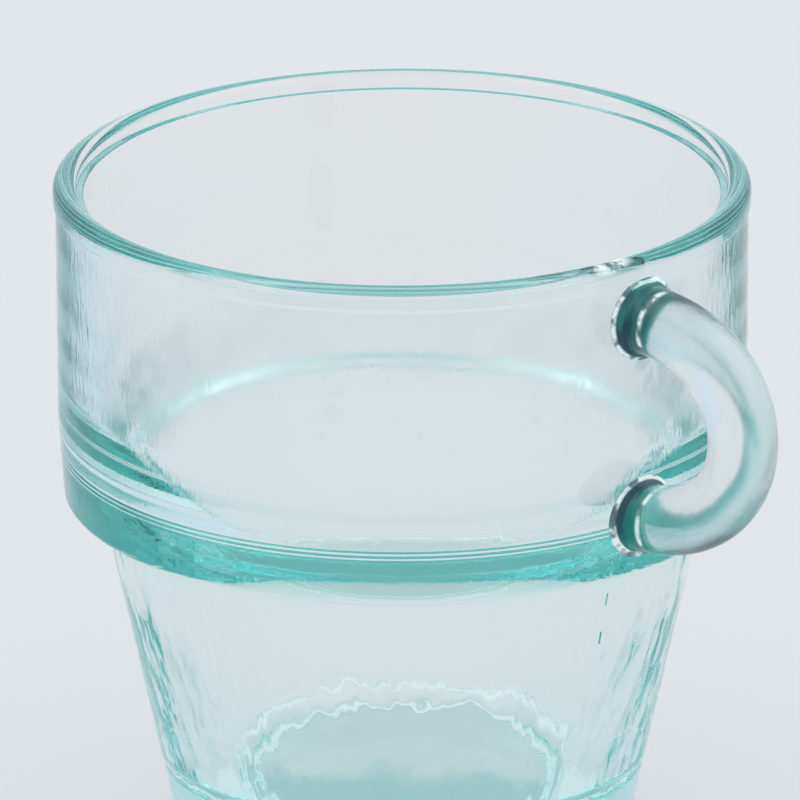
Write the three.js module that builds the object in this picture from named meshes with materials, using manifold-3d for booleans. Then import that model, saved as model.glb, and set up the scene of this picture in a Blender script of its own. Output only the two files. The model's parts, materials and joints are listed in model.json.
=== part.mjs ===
// Stackable coffee cup of pressed recycled glass. The body is one thick stepped wall of revolution:
// a wide band above, a narrower tapered well below, and between them a ledge that sits on the rim of
// the next cup down. The handle is a round glass rod bent to a C and welded to the band at both ends.
// Millimetres. The cup stands on z = 0 around the z axis, with its handle along +x.
import * as THREE from 'three';
import { mergeVertices } from 'three/addons/utils/BufferGeometryUtils.js';
import Module from 'manifold-3d';

// Outside of the body
const wellHeight = 44.4; // table to the underside of the stacking ledge
const bandHeight = 40.6; // underside of the ledge to the top of the lip
const rimRadius = 42.5;
const beadProud = 0.3; // the fire-polished lip stands this far outside the band
const beadRise = 0.5; // height over which the lip swells out of the band
const beadLand = 0.3; // plain strip of the lip below its rounding
const beadRound = 0.4;
const taperRise = 10.6; // the band draws in over this height above the ledge
const taperDraw = 0.65;
const taperRound = 40;
const ledgeWidth = 4.3; // step from the band in to the well
const baseRadius = 27.75;
const heelRound = 3;
const ledgeRound = 1.2; // lower edge of the band
const ledgeFillet = 1; // hollow corner under the ledge

// Inside of the body
const rimWall = 3.75;
const bandWall = 4.65; // wall of the band where the inner shoulder begins
const shoulderLevel = 8.1; // underside of the ledge to the top corner of the inner shoulder
const shoulderDrop = 8;
const shoulderWidth = 6;
const shoulderSplit = 0.65; // share of the shoulder's slope that its upper arc takes up
const shoulderFlat = 0.1; // straight run between its two arcs
const baseThickness = 8;
const floorRadius = 23.9; // where the wall of the well would meet the floor
const lipEase = 0.97; // share of half the rim wall that each side of the lip is rounded by
const floorFillet = 5;

// Handle
const rodDiameter = 8.4;
const rootInset = 7.7; // rod centres below the lip and above the ledge
const handleReach = 17; // centreline beyond the wall at its furthest
const upperLean = 1.2; // the upper arm swings out further than the lower one
const upperLift = 1.6; // and rises a little before it turns down
const rootFillet = 1.3; // flare where the rod runs into the wall
const rootDepth = 1.5; // the rod is drawn this far into the wall before the wall trims it
const weldGap = 0.3; // clearance between the trimmed roots and the wall

// Facets
const turnSegments = 64;
const arcStep = THREE.MathUtils.degToRad(12);
const rodSides = 24;
const rodSteps = 36;

// Sizes that follow from those above
const cupHeight = wellHeight + bandHeight;
const bandRadius = rimRadius - beadProud;
const ledgeRadius = bandRadius - taperDraw;
const waistRadius = ledgeRadius - ledgeWidth;
const mouthRadius = rimRadius - rimWall;
const lipRound = (rimWall / 2) * lipEase;
const taperTop = wellHeight + taperRise;
const beadFoot = cupHeight - lipRound - beadLand;
const crease = beadFoot - beadRise;
const shoulderTop = new THREE.Vector2(bandRadius - bandWall, wellHeight + shoulderLevel);
const shoulderFoot = new THREE.Vector2(shoulderTop.x - shoulderWidth, shoulderTop.y - shoulderDrop);
const upperReach = shoulderTop.distanceTo(shoulderFoot) * shoulderSplit;
const lowerReach = shoulderTop.distanceTo(shoulderFoot) - upperReach - shoulderFlat;
const rodRadius = rodDiameter / 2;
const upperRoot = cupHeight - rootInset;
const lowerRoot = wellHeight + rootInset;

const recycledGlass = new THREE.MeshStandardMaterial({
  name: 'recycled_glass',
  color: 0xc9e4e2,
  roughness: 0.05,
  metalness: 0,
  transparent: true,
  opacity: 0.45,
});

// Outside radius of the band at a height: a plain cylinder that draws in towards the ledge.
function wallRadius(z) {
  const drawnIn = THREE.MathUtils.mapLinear(z, wellHeight, taperTop, ledgeRadius, bandRadius);
  return Math.min(bandRadius, drawnIn);
}

// Outline through corner points, each corner replaced by a tangent arc. A corner gives the radius of
// its arc (round) or how far from the corner the arc begins (reach).
function roundedOutline(corners) {
  const points = [];
  corners.forEach(({ r, z, round, reach }, i) => {
    const corner = new THREE.Vector2(r, z);
    if (!round && !reach) {
      points.push(corner);
      return;
    }
    const before = new THREE.Vector2(corners[i - 1].r, corners[i - 1].z).sub(corner).normalize();
    const after = new THREE.Vector2(corners[i + 1].r, corners[i + 1].z).sub(corner).normalize();
    const half = Math.acos(THREE.MathUtils.clamp(before.dot(after), -1, 1)) / 2;
    const radius = round ?? reach * Math.tan(half);
    const middle = before.clone().add(after).normalize();
    const centre = corner.clone().addScaledVector(middle, radius / Math.sin(half));
    const start = corner.clone().addScaledVector(before, radius / Math.tan(half)).sub(centre);
    const side = Math.sign(before.cross(after));
    const turn = Math.PI - 2 * half;
    const steps = Math.ceil(turn / arcStep);
    for (let k = 0; k <= steps; k++) {
      const swing = (-side * turn * k) / steps;
      points.push(start.clone().rotateAround(new THREE.Vector2(), swing).add(centre));
    }
  });
  return points;
}

// Solid of revolution about z from an outline that starts and ends on the axis.
function revolve(outline) {
  const geometry = new THREE.LatheGeometry(outline, turnSegments);
  geometry.rotateX(Math.PI / 2);
  return welded(geometry);
}

// Copy of a geometry with shared corners merged and the slivers at the poles left out.
function welded(geometry) {
  geometry.deleteAttribute('normal');
  geometry.deleteAttribute('uv');
  const merged = mergeVertices(geometry);
  const index = merged.getIndex().array;
  const kept = [];
  for (let i = 0; i < index.length; i += 3) {
    const [a, b, c] = index.slice(i, i + 3);
    if (a !== b && b !== c && c !== a) {
      kept.push(a, b, c);
    }
  }
  merged.setIndex(kept);
  return merged;
}

const wasm = await Module();
wasm.setup();

function toSolid(geometry) {
  return new wasm.Manifold(
    new wasm.Mesh({
      numProp: 3,
      vertProperties: new Float32Array(geometry.getAttribute('position').array),
      triVerts: new Uint32Array(geometry.getIndex().array),
    }),
  );
}

function toGeometry(solid) {
  const { vertProperties, triVerts } = solid.getMesh();
  const geometry = new THREE.BufferGeometry();
  geometry.setAttribute('position', new THREE.BufferAttribute(vertProperties, 3));
  geometry.setIndex(new THREE.BufferAttribute(triVerts, 1));
  return geometry;
}

// One outline runs from the centre of the base, up the outside, over the lip and down the inside.
// The inner shoulder is one soft S, whose two arcs share the slope between its corners.
function cupBody() {
  const outline = roundedOutline([
    { r: 0, z: 0 },
    { r: baseRadius, z: 0, round: heelRound },
    { r: waistRadius, z: wellHeight, round: ledgeFillet },
    { r: ledgeRadius, z: wellHeight, round: ledgeRound },
    { r: bandRadius, z: taperTop, round: taperRound },
    { r: bandRadius, z: crease, round: beadRound },
    { r: rimRadius, z: beadFoot, round: beadRound },
    { r: rimRadius, z: cupHeight, round: lipRound },
    { r: mouthRadius, z: cupHeight, round: lipRound },
    { r: shoulderTop.x, z: shoulderTop.y, reach: upperReach },
    { r: shoulderFoot.x, z: shoulderFoot.y, reach: lowerReach },
    { r: floorRadius, z: baseThickness, round: floorFillet },
    { r: 0, z: baseThickness },
  ]);
  return revolve(outline);
}

// Centreline of the rod: a C in the x-z plane that starts and ends inside the wall.
function rodPath() {
  const pull = (handleReach + rootDepth) * (4 / 3); // a cubic goes three quarters of the way out
  const start = new THREE.Vector3(wallRadius(upperRoot) - rootDepth, 0, upperRoot);
  const end = new THREE.Vector3(wallRadius(lowerRoot) - rootDepth, 0, lowerRoot);
  return new THREE.CubicBezierCurve3(
    start,
    new THREE.Vector3(start.x + pull + upperLean, 0, upperRoot + upperLift),
    new THREE.Vector3(end.x + pull - upperLean, 0, lowerRoot),
    end,
  );
}

// Flared collar that blends one root of the rod into the wall, turned about the root's own axis.
function rootCollar(height) {
  const quarter = Math.PI / 2;
  const reach = rodRadius + rootFillet;
  const start = -quarter;
  const end = -2 * quarter;
  const arc = new THREE.EllipseCurve(reach, rootFillet, rootFillet, rootFillet, start, end, true);
  const flare = arc.getPoints(Math.ceil(quarter / arcStep));
  const outline = [
    new THREE.Vector2(0, -rootDepth),
    new THREE.Vector2(reach, -rootDepth),
    ...flare,
    new THREE.Vector2(0, rootFillet),
  ];
  const geometry = new THREE.LatheGeometry(outline, rodSides);
  geometry.rotateZ(-Math.PI / 2);
  geometry.translate(wallRadius(height) + weldGap, 0, height);
  return welded(geometry);
}

// Solid that fills the band and its lip and stands proud of them by the weld gap.
function bandTrimmer() {
  const overrun = rodDiameter + rootFillet;
  const low = wellHeight - overrun;
  const high = cupHeight + overrun;
  return revolve([
    new THREE.Vector2(0, low),
    new THREE.Vector2(wallRadius(low) + weldGap, low),
    new THREE.Vector2(bandRadius + weldGap, taperTop),
    new THREE.Vector2(bandRadius + weldGap, crease - weldGap),
    new THREE.Vector2(rimRadius + weldGap, beadFoot - weldGap),
    new THREE.Vector2(rimRadius + weldGap, high),
    new THREE.Vector2(0, high),
  ]);
}

function handle() {
  const section = new THREE.Shape().absarc(0, 0, rodRadius, 0, 2 * Math.PI);
  const rod = new THREE.ExtrudeGeometry(section, {
    extrudePath: rodPath(),
    steps: rodSteps,
    curveSegments: rodSides / 2,
  });
  const collars = toSolid(rootCollar(upperRoot)).add(toSolid(rootCollar(lowerRoot)));
  const whole = toSolid(welded(rod)).add(collars);
  return toGeometry(whole.subtract(toSolid(bandTrimmer())));
}

function namedMesh(name, geometry) {
  const mesh = new THREE.Mesh(geometry, recycledGlass);
  mesh.name = name;
  return mesh;
}

const cup = new THREE.Group();
cup.add(namedMesh('cup_body', cupBody()));
cup.add(namedMesh('handle', handle()));

export default cup;
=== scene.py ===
# %% [markdown]
# # A stackable cup of recycled glass
# This lesson dresses a finished CAD model of a glass coffee cup. The cup has two pieces: a thick
# pressed body, and a round glass rod that is bent to a C and welded on as a handle. Clear glass shows
# every surface at once, so the inside of the wall matters as much as the outside.

# %% Load the frame
import json
import math

import bmesh
import bpy
from mathutils import Matrix, Vector


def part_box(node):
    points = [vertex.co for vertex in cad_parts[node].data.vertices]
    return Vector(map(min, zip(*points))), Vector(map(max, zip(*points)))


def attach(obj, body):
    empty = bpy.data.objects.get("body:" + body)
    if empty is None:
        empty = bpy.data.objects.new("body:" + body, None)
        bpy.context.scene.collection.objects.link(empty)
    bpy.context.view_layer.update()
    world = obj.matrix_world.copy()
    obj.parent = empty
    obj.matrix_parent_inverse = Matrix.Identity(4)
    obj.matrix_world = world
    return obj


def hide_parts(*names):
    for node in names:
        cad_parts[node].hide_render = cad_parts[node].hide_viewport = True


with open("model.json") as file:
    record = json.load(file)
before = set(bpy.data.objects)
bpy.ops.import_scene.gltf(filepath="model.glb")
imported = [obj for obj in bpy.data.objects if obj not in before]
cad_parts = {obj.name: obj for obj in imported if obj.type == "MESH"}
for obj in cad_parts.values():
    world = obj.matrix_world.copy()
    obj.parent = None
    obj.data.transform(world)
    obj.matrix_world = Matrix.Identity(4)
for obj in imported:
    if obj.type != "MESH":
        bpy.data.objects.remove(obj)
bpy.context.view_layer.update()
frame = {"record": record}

MM = 0.001
scene = bpy.context.scene

# %% [markdown]
# ## The camera
# The photograph was taken with a long lens from well above the rim, so the ellipses of lip and ledge
# are nearly alike. A camera could be pushed about by hand until the picture fits. Here its turn, rise
# and distance are set as angles about the lip, because those are what the ellipses in a photograph give
# away.

# %% Measure the view
IMAGE_SIDE = 800
RIM_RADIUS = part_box("cup_body")[1].y
CUP_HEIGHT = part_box("cup_body")[1].z
CAMERA_TURN = math.radians(47)  # from straight in front, towards the handle
CAMERA_RISE = math.radians(18.82)
CAMERA_ROLL = math.radians(0.16)
CAMERA_DISTANCE = 1.36  # metres, from the middle of the lip
RIM_PIXELS = 349.4  # half the width of the lip in the picture
LIP_DROP = 1.87 * MM  # middle of the rounded lip below its top
LIP_PIXEL = Vector((402.5, 189.1))  # where that middle falls in the picture
pixels_per_metre = RIM_PIXELS / RIM_RADIUS
focal_pixels = pixels_per_metre * CAMERA_DISTANCE
print("Pixels per mm at the lip:", round(pixels_per_metre * MM, 2))

# %% Place the camera
camera_data = bpy.data.cameras.new("camera")
camera = bpy.data.objects.new("camera", camera_data)
scene.collection.objects.link(camera)
scene.camera = camera
away = Vector((math.sin(CAMERA_TURN), -math.cos(CAMERA_TURN), math.tan(CAMERA_RISE))).normalized()
turn = (-away).to_track_quat("-Z", "Y").to_matrix()
pan = Matrix.Rotation(math.atan((LIP_PIXEL.x - IMAGE_SIDE / 2) / focal_pixels), 3, "Y")
tilt = Matrix.Rotation(-math.atan((IMAGE_SIDE / 2 - LIP_PIXEL.y) / focal_pixels), 3, "X")
roll = Matrix.Rotation(-CAMERA_ROLL, 3, "Z")
lip_middle = Vector((0, 0, CUP_HEIGHT - LIP_DROP))
stand = Matrix.Translation(lip_middle + away * CAMERA_DISTANCE)
camera.matrix_world = stand @ (turn @ tilt @ pan @ roll).to_4x4()
camera_data.lens = camera_data.sensor_width * focal_pixels / IMAGE_SIDE
camera_data.clip_end = 100
print("Lens in mm:", round(camera_data.lens))

# %% [markdown]
# ## The pressed body
# A plunger presses the hot gather into a two-part mould, which gives a wall of revolution: a wide band
# under a fire-polished lip, a ledge that sits on the next cup's rim, and a tapered well. Inside, the
# wall swings from the band to the well in one long soft curve. It could be lofted or carved from a
# cylinder, but an outline turned once round the axis is how the mould itself is made. Only the corners
# of the outline are written down, and a vertex bevel rounds each one.

# %% Sizes of the outside
mounts = {mount["name"]: mount for mount in frame["record"]["mounts"]}
LEDGE_HEIGHT = mounts["stack_ledge"]["pos_m"][2]
BASE_RADIUS = 27.75 * MM
HEEL_ROUND = 3 * MM
WAIST_RADIUS = 37.25 * MM  # top of the well, under the ledge
LEDGE_FILLET = 1 * MM
LEDGE_ROUND = 1.2 * MM
BEAD_PROUD = 0.3 * MM  # the fire-polished lip stands this far outside the band
BEAD_RISE = 0.4 * MM  # height over which it swells out of the band
BEAD_LAND = 1.15 * MM  # its upright strip, which draws the fine line round the far lip
BEAD_FILLET = 0.2 * MM
BEAD_ROUND = 0.1 * MM
LIP_ROUND = 1.5 * MM
BAND_RADIUS = RIM_RADIUS - BEAD_PROUD
TAPER_HEIGHT = 55 * MM  # below this the band draws in towards the ledge
TAPER_DRAW = 0.65 * MM
TAPER_ROUND = 40 * MM
LEDGE_RADIUS = BAND_RADIUS - TAPER_DRAW
BEAD_FOOT = CUP_HEIGHT - LIP_ROUND - BEAD_LAND
BEAD_START = BEAD_FOOT - BEAD_RISE
print("The lip's bead starts at", round(BEAD_START / MM, 2), "mm")

# %% Sizes of the inside
RIM_WALL = 3.75 * MM
LIP_ROUND_INSIDE = 1.3 * MM
STEP_WIDTH = 0.9 * MM  # the lip ends on a fine step left by the plunger
STEP_HEIGHT = CUP_HEIGHT - 1.95 * MM
STEP_FILLET = 0.1 * MM
STEP_ROUND = 0.15 * MM
MOUTH_RADIUS = RIM_RADIUS - RIM_WALL
INSIDE_RADIUS = MOUTH_RADIUS + STEP_WIDTH  # the inside lies within this radius
SHOULDER_TOP = Vector((37.55, 53.3)) * MM
TOP_ROUND = 21 * MM
SHOULDER_FOOT = Vector((31.1, 44.5)) * MM
FOOT_ROUND = 15 * MM
WELL_BEND = Vector((28.8, 33.5)) * MM  # below it the wall thickens, and its edges turn teal
BEND_ROUND = 60 * MM
FLOOR_RADIUS = 21.3 * MM
FLOOR_HEIGHT = 8 * MM
FLOOR_FILLET = 5 * MM
print("Radius of the mouth in mm:", round(MOUTH_RADIUS / MM, 2))

# %% Corners of the outline
corners = [
    # radius, height and rounding, up the outside and down the inside
    (0, 0, 0),
    (BASE_RADIUS, 0, HEEL_ROUND),
    (WAIST_RADIUS, LEDGE_HEIGHT, LEDGE_FILLET),
    (LEDGE_RADIUS, LEDGE_HEIGHT, LEDGE_ROUND),
    (BAND_RADIUS, TAPER_HEIGHT, TAPER_ROUND),
    (BAND_RADIUS, BEAD_START, BEAD_FILLET),
    (RIM_RADIUS, BEAD_FOOT, BEAD_ROUND),
    (RIM_RADIUS, CUP_HEIGHT, LIP_ROUND),
    (INSIDE_RADIUS, CUP_HEIGHT, LIP_ROUND_INSIDE),
    (INSIDE_RADIUS, STEP_HEIGHT, STEP_FILLET),
    (MOUTH_RADIUS, STEP_HEIGHT, STEP_ROUND),
    (*SHOULDER_TOP, TOP_ROUND),
    (*SHOULDER_FOOT, FOOT_ROUND),
    (*WELL_BEND, BEND_ROUND),
    (FLOOR_RADIUS, FLOOR_HEIGHT, FLOOR_FILLET),
    (0, FLOOR_HEIGHT, 0),
]
print("Corners:", len(corners))

# %% Round the outline
ARC_SEGMENTS = 16
body_mesh = bmesh.new()
wire = [body_mesh.verts.new((radius, 0, height)) for radius, height, _ in corners]
for start, end in zip(wire, wire[1:]):
    body_mesh.edges.new((start, end))
for corner, (_, _, rounding) in zip(wire, corners):
    if rounding:
        # the bevel starts where an arc of that radius would touch
        before, after = [edge.other_vert(corner).co - corner.co for edge in corner.link_edges]
        reach = rounding / math.tan(before.angle(after) / 2)
        bmesh.ops.bevel(
            body_mesh, geom=[corner], offset=reach, offset_type="OFFSET", segments=ARC_SEGMENTS,
            profile=0.5, affect="VERTICES", material=-1,
        )
print("Points on the rounded outline:", len(body_mesh.verts))


# %% Close a mesh and make it an object
MERGE_DISTANCE = 0.0005 * MM


def finished_piece(name, mesh):
    """Merges a mesh's doubles, points its faces outwards, and makes it a smooth object at the origin."""
    bmesh.ops.remove_doubles(mesh, verts=mesh.verts, dist=MERGE_DISTANCE)
    bmesh.ops.recalc_face_normals(mesh, faces=mesh.faces)
    for face in mesh.faces:
        face.smooth = True
    data = bpy.data.meshes.new(name)
    mesh.to_mesh(data)
    piece = bpy.data.objects.new(name, data)
    scene.collection.objects.link(piece)
    open_edges = sum(not edge.is_manifold for edge in mesh.edges)
    volume = round(mesh.calc_volume() / MM**3)
    print(name, len(mesh.faces), "faces,", open_edges, "open edges,", volume, "mm3")
    mesh.free()
    return piece


# %% Turn the outline into the body
TURN_STEPS = 256
bmesh.ops.spin(
    body_mesh, geom=body_mesh.verts[:] + body_mesh.edges[:], cent=(0, 0, 0), axis=(0, 0, 1),
    angle=2 * math.pi, steps=TURN_STEPS, use_merge=True,
)
body = finished_piece("pressed_body", body_mesh)

# %% [markdown]
# ## The handle
# The handle is a glass rod drawn out hot, bent to a C and stuck to the band while both are soft, which
# leaves a small flare round each root. A curve with a round bevel would give the rod, but not the roots
# that lie on a curved wall. So a ring is extruded from station to station along the C, and the rings
# near the wall are laid on it.

# %% Outside of the band
def share_between(value, low, high):
    """How far a value lies from low (0) to high (1)."""
    return min(1, max(0, (value - low) / (high - low)))


def band_radius(height):
    """Outside radius of the band: a cylinder that draws in near the ledge and swells at the lip."""
    above_ledge = share_between(height, LEDGE_HEIGHT, TAPER_HEIGHT)
    drawn_in = (BAND_RADIUS - LEDGE_RADIUS) * (1 - above_ledge)
    return BAND_RADIUS - drawn_in + BEAD_PROUD * share_between(height, BEAD_START, BEAD_FOOT)


print("Band at the ledge in mm:", round(band_radius(LEDGE_HEIGHT) / MM, 2))

# %% Centreline of the rod
ROD_RADIUS = 4.2 * MM
ROOT_INSET = 7.7 * MM  # rod centres below the lip and above the ledge
ROOT_DEPTH = 1.5 * MM  # the line starts and ends this far inside the wall
REACH = 17 * MM
LEAN = 1.2 * MM  # the upper arm swings out further than the lower one
LIFT = 1.6 * MM  # and rises a little before it turns down
UPPER_ROOT = CUP_HEIGHT - ROOT_INSET
LOWER_ROOT = LEDGE_HEIGHT + ROOT_INSET
ROOTS_MIDDLE = (UPPER_ROOT + LOWER_ROOT) / 2


def rod_point(share):
    """Point on the C, a cubic curve from the upper root (0) to the lower root (1)."""
    start = Vector((band_radius(UPPER_ROOT) - ROOT_DEPTH, 0, UPPER_ROOT))
    end = Vector((band_radius(LOWER_ROOT) - ROOT_DEPTH, 0, LOWER_ROOT))
    pull = (REACH + ROOT_DEPTH) * 4 / 3  # a cubic goes three quarters of the way out
    upper = start + Vector((pull + LEAN, 0, LIFT))
    lower = end + Vector((pull - LEAN, 0, 0))
    rest = 1 - share
    return rest**3 * start + 3 * rest**2 * share * upper + 3 * rest * share**2 * lower + share**3 * end


print("Middle of the C in mm:", [round(part / MM, 1) for part in rod_point(0.5)])


# %% Place a ring
def ring_place(centre, along, radius):
    """Matrix that puts a unit ring round a point, square to a direction in the x-z plane."""
    lean = Matrix.Rotation(-math.atan2(along.z, along.x), 4, "Y")
    return Matrix.Translation(centre) @ lean @ Matrix.Scale(radius, 4)


# %% Rings at the roots
FLARE = 1.3 * MM
FLARE_STEPS = 8
FLARE_START = math.radians(14)  # the flare begins this far round its arc, so its edge isn't a knife
CAP_RINGS = (0.1, 0.3, 0.55, 0.8, 1)  # shares of the cap's radius


def flare_ring(angle):
    """Radius of the flare and its standoff from the wall, at an angle round its hollow arc."""
    return ROD_RADIUS + FLARE * (1 - math.sin(angle)), FLARE * (1 - math.cos(angle))


weld_radius = flare_ring(FLARE_START)[0]


def root_stations(root, along):
    """Rings from the middle of a root's cap to the end of its flare, with standoffs from the wall."""
    centre = Vector((band_radius(root), 0, root))
    for share in CAP_RINGS:
        yield ring_place(centre, along, weld_radius * share), 0
    for step in range(FLARE_STEPS + 1):
        angle = FLARE_START + (math.pi / 2 - FLARE_START) * step / FLARE_STEPS
        radius, standoff = flare_ring(angle)
        yield ring_place(centre, along, radius), standoff


print("Radius of the weld in mm:", round(weld_radius / MM, 2))

# %% Rings along the rod
ROD_STATIONS = 100
AHEAD = 0.001  # share of the C over which its direction is measured


def rod_stations():
    """Rings along the free part of the C, past both flares."""
    for station in range(ROD_STATIONS + 1):
        share = station / ROD_STATIONS
        point = rod_point(share)
        if point.x > band_radius(point.z) + 2 * FLARE:
            along = rod_point(share + AHEAD) - rod_point(share - AHEAD)
            yield ring_place(point, along, ROD_RADIUS), None


outwards = Vector((1, 0, 0))
stations = list(root_stations(UPPER_ROOT, outwards)) + list(rod_stations())
stations += reversed(list(root_stations(LOWER_ROOT, -outwards)))
print("Handle rings:", len(stations))

# %% Extrude the handle ring by ring
RING_POINTS = 64
handle_mesh = bmesh.new()
first = bmesh.ops.create_circle(handle_mesh, cap_ends=True, segments=RING_POINTS, radius=1)["verts"]
upright = Matrix.Rotation(math.pi / 2, 4, "Y")
bmesh.ops.transform(handle_mesh, matrix=stations[0][0] @ upright, verts=first)
ring = handle_mesh.edges[:]
rings = [(first, 0)]
for (before, _), (place, standoff) in zip(stations, stations[1:]):
    made = bmesh.ops.extrude_edge_only(handle_mesh, edges=ring)["geom"]
    points = [part for part in made if isinstance(part, bmesh.types.BMVert)]
    ring = [part for part in made if isinstance(part, bmesh.types.BMEdge) and part.is_boundary]
    bmesh.ops.transform(handle_mesh, matrix=place @ before.inverted(), verts=points)
    rings.append((points, standoff))
bmesh.ops.contextual_create(handle_mesh, geom=ring)
print("Handle faces:", len(handle_mesh.faces))

# %% Lay the roots on the wall
WELD_GAP = 0.02 * MM
for points, standoff in rings:
    if standoff is not None:
        for point in points:
            wall = band_radius(point.co.z) + WELD_GAP
            point.co.x = math.sqrt(wall**2 - point.co.y**2) + standoff

# a crease between each cap and its flare keeps the smooth shading of one off the other
cap_points = {point for points, standoff in rings for point in points if standoff == 0}
for edge in handle_mesh.edges:
    capped = [face for face in edge.link_faces if all(point in cap_points for point in face.verts)]
    if len(capped) == 1:
        edge.smooth = False
handle = finished_piece("rod_handle", handle_mesh)

# %% [markdown]
# ## Colours and nodes
# Every colour below is written as an sRGB hex value, the way a colour picker shows it, and Blender's
# shaders want linear light. Node trees could be drawn by hand in the editor. In a script, one small
# function that adds a node, sets it and links it keeps each tree readable.

# %% Colours in linear light
def linear(colour):
    """Linear red, green, blue and alpha of an sRGB hex colour."""
    shares = [int(colour[place:place + 2], 16) / 255 for place in (1, 3, 5)]
    lit = [((share + 0.055) / 1.055) ** 2.4 if share > 0.04045 else share / 12.92 for share in shares]
    return lit + [1]


print("Mid grey in linear light:", round(linear("#808080")[0], 3))


# %% Add a node
def add_node(tree, kind, settings, inputs):
    """Adds a node, sets it, and gives each input a value, a socket or a node's first live output."""
    node = tree.nodes.new(kind)
    for name, value in settings.items():
        setattr(node, name, value)
    for name, value in inputs.items():
        if isinstance(value, bpy.types.Node):
            value = next(socket for socket in value.outputs if socket.enabled)
        if isinstance(value, bpy.types.NodeSocket):
            tree.links.new(value, node.inputs[name])
        else:
            node.inputs[name].default_value = value
    return node


SMOOTH = {"interpolation_type": "SMOOTHSTEP"}  # a soft step, with no crease at its ends


# %% Distance from the axis
def from_axis(tree, where):
    """Distance of a point from the cup's axis, and its height."""
    axes = add_node(tree, "ShaderNodeSeparateXYZ", {}, {"Vector": where}).outputs
    across = add_node(tree, "ShaderNodeCombineXYZ", {}, {"X": axes["X"], "Y": axes["Y"]})
    return add_node(tree, "ShaderNodeVectorMath", {"operation": "LENGTH"}, {0: across}), axes["Z"]


# %% [markdown]
# ## Where the plunger dragged
# On the cup's far side the photograph shows soft, broken glints on the inner shoulder, and the fine
# marks fade there. That is taken for glass left dull by a cooling plunger that leaned that way. A
# painted mask could hold it, but height and bearing are enough, and they stay put from every side.

# %% Dragged side of the cup
DRAG_SIDE = Matrix.Rotation(math.radians(137), 3, "Z") @ outwards  # bearing from the handle
SHOULDER_LEVEL = 51 * MM  # middle of the dull strip
SHOULDER_REACH = 9 * MM  # from there to where it ends


def towards_drag(tree, where):
    """Distance from the axis towards the dragged side."""
    return add_node(tree, "ShaderNodeVectorMath", {"operation": "DOT_PRODUCT"}, {0: where, 1: DRAG_SIDE})


print("Bearing of the dragged side:", [round(part, 2) for part in DRAG_SIDE])


# %% Dragged part of the inner shoulder
def on_shoulder(tree, where):
    """1 on the dragged side of the inner shoulder, falling to 0 round it."""
    out, height = from_axis(tree, where)
    off_level = add_node(
        tree, "ShaderNodeMath", {"operation": "SUBTRACT"}, {0: height, 1: SHOULDER_LEVEL},
    )
    off_level = add_node(tree, "ShaderNodeMath", {"operation": "ABSOLUTE"}, {0: off_level})
    level = add_node(
        tree, "ShaderNodeMapRange", SMOOTH,
        {"Value": off_level, "From Min": SHOULDER_REACH / 3, "From Max": SHOULDER_REACH,
         "To Min": 1.0, "To Max": 0.0},
    )
    inside = add_node(tree, "ShaderNodeMath", {"operation": "LESS_THAN"}, {0: out, 1: INSIDE_RADIUS})
    level = add_node(tree, "ShaderNodeMath", {"operation": "MULTIPLY"}, {0: level, 1: inside})
    dragged = add_node(
        tree, "ShaderNodeMapRange", SMOOTH,
        {"Value": towards_drag(tree, where), "From Min": 0.0, "From Max": SHOULDER_REACH,
         "To Min": 0.0, "To Max": 1.0},
    )
    return add_node(tree, "ShaderNodeMath", {"operation": "MULTIPLY"}, {0: level, 1: dragged})


# %% [markdown]
# ## Waves and grain
# Pressed glass is never flat. Slow swells bend what is seen through it, and a fine grain runs down the
# wall, the way the plunger pulled. Both are hundredths of a millimetre high, far too shallow for
# geometry, so they are bump: a height in metres that only tips the surface. Each function below gives a
# pattern and its height.

# %% Slow waves
WAVE_LENGTH = 15 * MM
WAVE_HEIGHT = 0.1 * MM


def slow_waves(tree, where):
    """Slow swells all over."""
    swell = add_node(
        tree, "ShaderNodeTexNoise", {}, {"Vector": where, "Scale": 1 / WAVE_LENGTH, "Detail": 1.0},
    )
    return swell, WAVE_HEIGHT


print("Waves in mm:", WAVE_LENGTH / MM, "long,", WAVE_HEIGHT / MM, "high")

# %% Grain down the wall
GRAIN_WIDTH = 0.7 * MM  # coarser than on the real cup, so that it shows
GRAIN_STRETCH = 0.22  # the grain is longer down the wall than across it
GRAIN_HEIGHT = 0.013 * MM
GRAIN_IN_WELL = 0.2  # the well is left smoother than the band
GRAIN_FADE = 4 * MM
GRAIN_ON_SHOULDER = 0.12
POLISHED_FROM = 79 * MM  # the flame has smoothed the wall from here
POLISHED_TO = 82 * MM


def drawn_grain(tree, where):
    """Fine grain: none on the polished lip, and little in the well and on the dragged shoulder."""
    height = add_node(tree, "ShaderNodeSeparateXYZ", {}, {"Vector": where}).outputs["Z"]
    drawn = add_node(
        tree, "ShaderNodeVectorMath", {"operation": "MULTIPLY"}, {0: where, 1: (1, 1, GRAIN_STRETCH)},
    )
    grain = add_node(
        tree, "ShaderNodeTexNoise", {}, {"Vector": drawn, "Scale": 1 / GRAIN_WIDTH, "Detail": 2.0},
    )
    below_lip = add_node(
        tree, "ShaderNodeMapRange", SMOOTH,
        {"Value": height, "From Min": POLISHED_FROM, "From Max": POLISHED_TO,
         "To Min": GRAIN_HEIGHT, "To Max": 0.0},
    )
    on_band = add_node(
        tree, "ShaderNodeMapRange", SMOOTH,
        {"Value": height, "From Min": LEDGE_HEIGHT - GRAIN_FADE, "From Max": LEDGE_HEIGHT + GRAIN_FADE,
         "To Min": GRAIN_IN_WELL, "To Max": 1.0},
    )
    depth = add_node(tree, "ShaderNodeMath", {"operation": "MULTIPLY"}, {0: below_lip, 1: on_band})
    off_shoulder = add_node(
        tree, "ShaderNodeMath", {"operation": "MULTIPLY_ADD"},
        {0: on_shoulder(tree, where), 1: GRAIN_ON_SHOULDER - 1, 2: 1.0},
    )
    return grain, add_node(tree, "ShaderNodeMath", {"operation": "MULTIPLY"}, {0: depth, 1: off_shoulder})


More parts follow.
